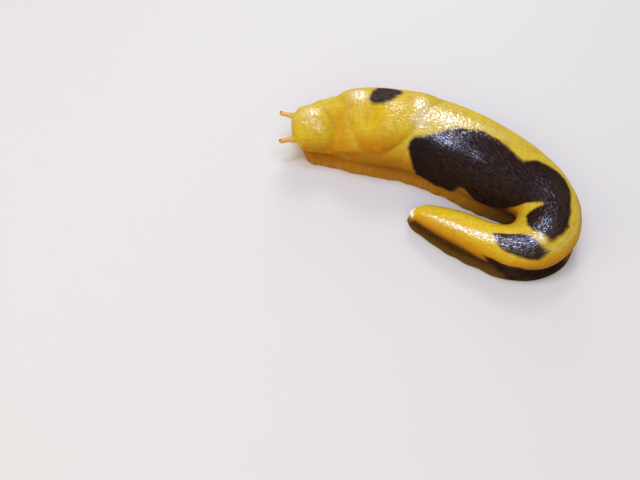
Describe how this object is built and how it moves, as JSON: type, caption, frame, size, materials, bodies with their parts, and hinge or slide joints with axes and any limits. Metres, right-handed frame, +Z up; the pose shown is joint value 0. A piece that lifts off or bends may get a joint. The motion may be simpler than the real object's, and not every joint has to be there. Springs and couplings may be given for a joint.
{
  "type": "banana slug",
  "caption": "Life-size banana slug lying on its flat foot, body bent round in a U with the tail beside the flank, feelers drawn in.",
  "frame": {"origin": "middle of the bounding box's base, on the floor under the bent body", "axes": "+X runs from the head's end to the outside of the bend, +Y away from the side where the tail lies, +Z up from the floor"},
  "size_m": [0.0922, 0.0682, 0.0201],
  "materials": {
    "head_skin": "wet, glossy, translucent skin",
    "mantle_skin": "wet, glossy, translucent skin",
    "yellow_skin": "wet, glossy skin with fine wrinkles",
    "blotched_skin": "wet, glossy skin with fine wrinkles",
    "foot_skin": "wet, translucent skin",
    "feeler_skin": "wet, translucent skin",
    "eye_black": "gloss",
    "dried_slime": "dull, half dried"
  },
  "bodies": {
    "root": {"head": "head_skin", "neck": "head_skin", "mantle": "mantle_skin", "trunk_front": "yellow_skin", "trunk_middle": "blotched_skin", "trunk_rear": "blotched_skin", "tail_bend": "yellow_skin", "tail_base": "yellow_skin", "tail_middle": "yellow_skin", "tail_tip": "yellow_skin", "foot_front": "foot_skin", "foot_middle": "foot_skin", "foot_bend": "foot_skin", "foot_tail": "foot_skin", "upper_feeler_left": "feeler_skin", "upper_feeler_right": "feeler_skin", "lower_feeler_left": "feeler_skin", "lower_feeler_right": "feeler_skin", "eye_left": "eye_black", "eye_right": "eye_black", "slime_plug": "dried_slime"}
  },
  "joints": []
}
